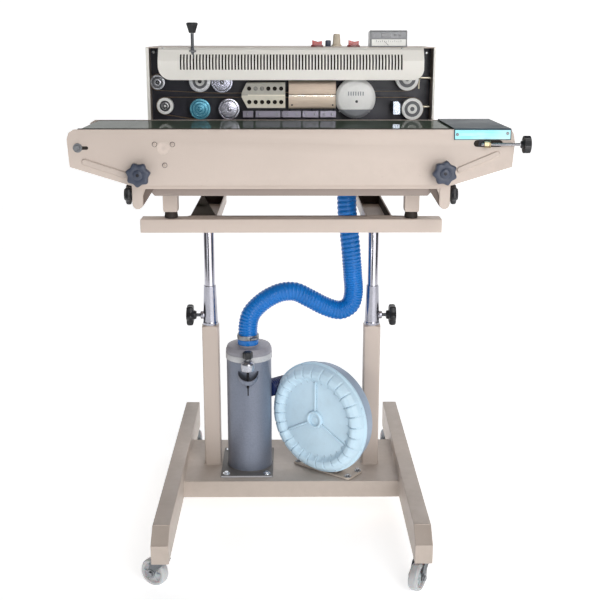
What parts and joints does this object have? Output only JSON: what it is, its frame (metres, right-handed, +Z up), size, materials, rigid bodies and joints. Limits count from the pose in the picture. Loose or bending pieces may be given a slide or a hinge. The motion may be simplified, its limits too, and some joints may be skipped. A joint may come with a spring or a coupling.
{
  "type": "continuous band sealer",
  "caption": "Stand-type continuous band sealer: wheeled height-adjustable stand, conveyor table, sealing head with heater and cooler, filter canister, side-channel blower and ribbed air hose.",
  "frame": {"origin": "on the floor, under the middle of the whole machine", "axes": "+X along the conveyor towards the covered delivery end, -Y towards the operator, +Z up"},
  "size_m": [0.868, 0.7408, 1.063],
  "materials": {
    "beige_paint": "satin powder coat",
    "guard_paint": "satin powder coat",
    "chrome_tube": "polished",
    "black_plastic": "moulded",
    "slate_plastic": "moulded",
    "green_belt": "smooth glossy",
    "turned_aluminium": "turned",
    "stainless": "brushed",
    "black_panel": "satin",
    "motor_grey": "satin",
    "white_plastic": "satin",
    "blue_rubber": "satin",
    "sealing_band": "smooth glass cloth",
    "cream_cover": "coated",
    "tan_cover": "satin",
    "red_plastic": "glossy",
    "beige_plastic": "satin",
    "meter_plastic": "clear and grey",
    "grey_paint": "hammered satin",
    "blower_casting": "cast",
    "blower_cover_paint": "cast and painted",
    "dark_blue_hose": "satin",
    "blue_hose": "glossy",
    "caster_zinc": "zinc plated",
    "caster_tyre": "smooth"
  },
  "bodies": {
    "stand": {"base_frame": "beige_paint", "column_left": "beige_paint", "column_right": "beige_paint", "canister_body": "grey_paint", "canister_cap": "grey_paint", "blower_housing": "blower_casting", "blower_cover": "blower_cover_paint", "blower_motor": "motor_grey", "link_hose": "dark_blue_hose", "air_hose": "blue_hose"},
    "lift": {"lift_tube_left": "chrome_tube", "lift_tube_right": "chrome_tube", "top_frame": "beige_paint", "machine_tray": "beige_paint", "head_cover": "beige_paint", "head_panel": "black_panel", "drive_motor": "motor_grey", "guard_cover": "guard_paint", "sealing_band_upper": "sealing_band", "sealing_band_lower": "sealing_band", "heater_block": "cream_cover", "cooler_block": "tan_cover", "fan_cover": "white_plastic", "meter_box": "meter_plastic"},
    "carriage": {"table_bracket": "beige_paint"},
    "table": {"table_frame": "beige_paint", "conveyor_belt": "green_belt", "end_cover": "stainless"},
    "caster_front_left": {"caster_fork_front_left": "caster_zinc"},
    "wheel_front_left": {"caster_wheel_front_left": "caster_tyre"},
    "caster_front_right": {"caster_fork_front_right": "caster_zinc"},
    "wheel_front_right": {"caster_wheel_front_right": "caster_tyre"},
    "caster_rear_left": {"caster_fork_rear_left": "caster_zinc"},
    "wheel_rear_left": {"caster_wheel_rear_left": "caster_tyre"},
    "caster_rear_right": {"caster_fork_rear_right": "caster_zinc"},
    "wheel_rear_right": {"caster_wheel_rear_right": "caster_tyre"},
    "lock_knob_left_body": {"lock_knob_left": "black_plastic"},
    "table_knob_left_body": {"table_knob_left": "slate_plastic"},
    "side_knob_left_body": {"side_knob_left": "black_plastic"},
    "roller_left_body": {"roller_left": "turned_aluminium"},
    "lock_knob_right_body": {"lock_knob_right": "black_plastic"},
    "table_knob_right_body": {"table_knob_right": "slate_plastic"},
    "side_knob_right_body": {"side_knob_right": "black_plastic"},
    "roller_right_body": {"roller_right": "turned_aluminium"},
    "valve_knob_body": {"valve_knob": "black_plastic"},
    "impeller_body": {"blower_impeller": "turned_aluminium"},
    "tension_body": {"tension_screw": "black_plastic"},
    "pressure_body": {"pressure_screw": "black_plastic"},
    "speed_knob_body": {"speed_knob": "black_plastic"},
    "temperature_knob_body": {"temperature_knob": "beige_plastic"},
    "power_switch_body": {"power_switch": "red_plastic"},
    "fan_switch_body": {"fan_switch": "red_plastic"},
    "idler_lower_body": {"idler_lower": "white_plastic"},
    "guide_wheel_lower_body": {"guide_wheel_lower": "blue_rubber"},
    "press_wheel_lower_body": {"press_wheel_lower": "turned_aluminium"},
    "drive_wheel_lower_body": {"drive_wheel_lower": "white_plastic"},
    "idler_upper_body": {"idler_upper": "turned_aluminium"},
    "embossing_wheel_body": {"embossing_wheel": "turned_aluminium"},
    "press_wheel_upper_body": {"press_wheel_upper": "turned_aluminium"},
    "drive_wheel_upper_body": {"drive_wheel_upper": "white_plastic"}
  },
  "joints": [
    {"name": "lift_slide", "type": "slide", "parent": "stand", "child": "lift", "axis": [0, 0, 1], "range_m": [-0.1, 0.08], "deforming": ["air_hose"]},
    {"name": "table_reach_slide", "type": "slide", "parent": "lift", "child": "carriage", "axis": [0, 1, 0], "range_m": [-0.03, 0]},
    {"name": "table_height_slide", "type": "slide", "parent": "carriage", "child": "table", "axis": [0, 0, 1], "range_m": [0, 0.015]},
    {"name": "caster_swivel_front_left", "type": "hinge", "parent": "stand", "child": "caster_front_left", "pos_m": [-0.2655, -0.326, 0.06], "axis": [0, 0, 1], "continuous": true},
    {"name": "caster_roll_front_left", "type": "hinge", "parent": "caster_front_left", "child": "wheel_front_left", "pos_m": [-0.28109, -0.317, 0.028], "axis": [-0.5, -0.866, 0], "continuous": true},
    {"name": "caster_swivel_front_right", "type": "hinge", "parent": "stand", "child": "caster_front_right", "pos_m": [0.2375, -0.326, 0.06], "axis": [0, 0, 1], "continuous": true},
    {"name": "caster_roll_front_right", "type": "hinge", "parent": "caster_front_right", "child": "wheel_front_right", "pos_m": [0.2285, -0.34159, 0.028], "axis": [0.866, -0.5, 0], "continuous": true},
    {"name": "caster_swivel_rear_left", "type": "hinge", "parent": "stand", "child": "caster_rear_left", "pos_m": [-0.2655, 0.326, 0.06], "axis": [0, 0, 1], "continuous": true},
    {"name": "caster_roll_rear_left", "type": "hinge", "parent": "caster_rear_left", "child": "wheel_rear_left", "pos_m": [-0.26084, 0.34339, 0.028], "axis": [-0.9659, 0.2588, 0], "continuous": true},
    {"name": "caster_swivel_rear_right", "type": "hinge", "parent": "stand", "child": "caster_rear_right", "pos_m": [0.2375, 0.326, 0.06], "axis": [0, 0, 1], "continuous": true},
    {"name": "caster_roll_rear_right", "type": "hinge", "parent": "caster_rear_right", "child": "wheel_rear_right", "pos_m": [0.23284, 0.34339, 0.028], "axis": [-0.9659, -0.2588, 0], "continuous": true},
    {"name": "lock_knob_left_turn", "type": "hinge", "parent": "stand", "child": "lock_knob_left_body", "pos_m": [-0.1907, 0.0415, 0.446], "axis": [1, 0, 0], "continuous": true},
    {"name": "table_knob_left_turn", "type": "hinge", "parent": "table", "child": "table_knob_left_body", "pos_m": [-0.3, -0.2, 0.786], "axis": [0, 1, 0], "continuous": true},
    {"name": "side_knob_left_turn", "type": "hinge", "parent": "carriage", "child": "side_knob_left_body", "pos_m": [-0.325, -0.164, 0.743], "axis": [1, 0, 0], "continuous": true},
    {"name": "lock_knob_right_turn", "type": "hinge", "parent": "stand", "child": "lock_knob_right_body", "pos_m": [0.1627, 0.0415, 0.446], "axis": [1, 0, 0], "continuous": true},
    {"name": "table_knob_right_turn", "type": "hinge", "parent": "table", "child": "table_knob_right_body", "pos_m": [0.273, -0.2, 0.789], "axis": [0, 1, 0], "continuous": true},
    {"name": "side_knob_right_turn", "type": "hinge", "parent": "carriage", "child": "side_knob_right_body", "pos_m": [0.297, -0.164, 0.743], "axis": [1, 0, 0], "continuous": true},
    {"name": "valve_knob_turn", "type": "hinge", "parent": "stand", "child": "valve_knob_body", "pos_m": [-0.107, -0.042, 0.38], "axis": [0, 0, 1], "continuous": true},
    {"name": "impeller_spin", "type": "hinge", "parent": "stand", "child": "impeller_body", "pos_m": [0.048, -0.02, 0.231], "axis": [0.6157, 0.788, 0], "continuous": true},
    {"name": "tension_screw_turn", "type": "hinge", "parent": "table", "child": "tension_body", "pos_m": [0.386, -0.1926, 0.841], "axis": [1, 0, 0], "continuous": true},
    {"name": "pressure_screw_turn", "type": "hinge", "parent": "lift", "child": "pressure_body", "pos_m": [-0.2147, 0.035, 1.05], "axis": [0, 0, 1], "continuous": true},
    {"name": "speed_knob_turn", "type": "hinge", "parent": "lift", "child": "speed_knob_body", "pos_m": [0.063, 0.07, 1.02], "axis": [0, 0, 1], "range_deg": [-150, 150]},
    {"name": "temperature_knob_turn", "type": "hinge", "parent": "lift", "child": "temperature_knob_body", "pos_m": [0.0806, 0.07, 1.02], "axis": [0, 0, 1], "range_deg": [-150, 150]},
    {"name": "power_switch_rock", "type": "hinge", "parent": "lift", "child": "power_switch_body", "pos_m": [0.04, 0.07, 1.0196], "axis": [0, 1, 0], "range_deg": [-8, 8]},
    {"name": "fan_switch_rock", "type": "hinge", "parent": "lift", "child": "fan_switch_body", "pos_m": [0.1155, 0.07, 1.0196], "axis": [0, 1, 0], "range_deg": [-8, 8]},
    {"name": "idler_lower_spin", "type": "hinge", "parent": "lift", "child": "idler_lower_body", "pos_m": [-0.278, 0.07, 0.894], "axis": [0, 1, 0], "continuous": true},
    {"name": "guide_wheel_lower_spin", "type": "hinge", "parent": "lift", "child": "guide_wheel_lower_body", "pos_m": [-0.2046, 0.07, 0.8876], "axis": [0, 1, 0], "continuous": true},
    {"name": "press_wheel_lower_spin", "type": "hinge", "parent": "lift", "child": "press_wheel_lower_body", "pos_m": [-0.144, 0.07, 0.8876], "axis": [0, 1, 0], "continuous": true},
    {"name": "drive_wheel_lower_spin", "type": "hinge", "parent": "lift", "child": "drive_wheel_lower_body", "pos_m": [0.2407, 0.07, 0.8881], "axis": [0, 1, 0], "continuous": true},
    {"name": "idler_upper_spin", "type": "hinge", "parent": "lift", "child": "idler_upper_body", "pos_m": [-0.292, 0.07, 0.9426], "axis": [0, 1, 0], "continuous": true},
    {"name": "embossing_wheel_spin", "type": "hinge", "parent": "lift", "child": "embossing_wheel_body", "pos_m": [-0.204, 0.07, 0.9448], "axis": [0, 1, 0], "continuous": true},
    {"name": "press_wheel_upper_spin", "type": "hinge", "parent": "lift", "child": "press_wheel_upper_body", "pos_m": [-0.158, 0.07, 0.9434], "axis": [0, 1, 0], "continuous": true},
    {"name": "drive_wheel_upper_spin", "type": "hinge", "parent": "lift", "child": "drive_wheel_upper_body", "pos_m": [0.2284, 0.07, 0.95], "axis": [0, 1, 0], "continuous": true},
    {"name": "roller_left_spin", "type": "hinge", "parent": "table", "child": "roller_left_body", "pos_m": [-0.406, -0.075, 0.841], "axis": [0, 1, 0], "continuous": true},
    {"name": "roller_right_spin", "type": "hinge", "parent": "table", "child": "roller_right_body", "pos_m": [0.358, -0.075, 0.841], "axis": [0, 1, 0], "continuous": true}
  ],
  "couplings": [
    {"joint": "idler_lower_spin", "follows": "drive_wheel_lower_spin", "ratio": 1.3235},
    {"joint": "guide_wheel_lower_spin", "follows": "drive_wheel_lower_spin", "ratio": 1.0465},
    {"joint": "press_wheel_lower_spin", "follows": "drive_wheel_lower_spin", "ratio": 1.0227},
    {"joint": "idler_upper_spin", "follows": "drive_wheel_lower_spin", "ratio": -1.4516},
    {"joint": "embossing_wheel_spin", "follows": "drive_wheel_lower_spin", "ratio": -1.009},
    {"joint": "press_wheel_upper_spin", "follows": "drive_wheel_lower_spin", "ratio": -1.009},
    {"joint": "drive_wheel_upper_spin", "follows": "drive_wheel_lower_spin", "ratio": -0.9375},
    {"joint": "roller_left_spin", "follows": "drive_wheel_lower_spin", "ratio": 0.9375},
    {"joint": "roller_right_spin", "follows": "drive_wheel_lower_spin", "ratio": 0.9375}
  ]
}
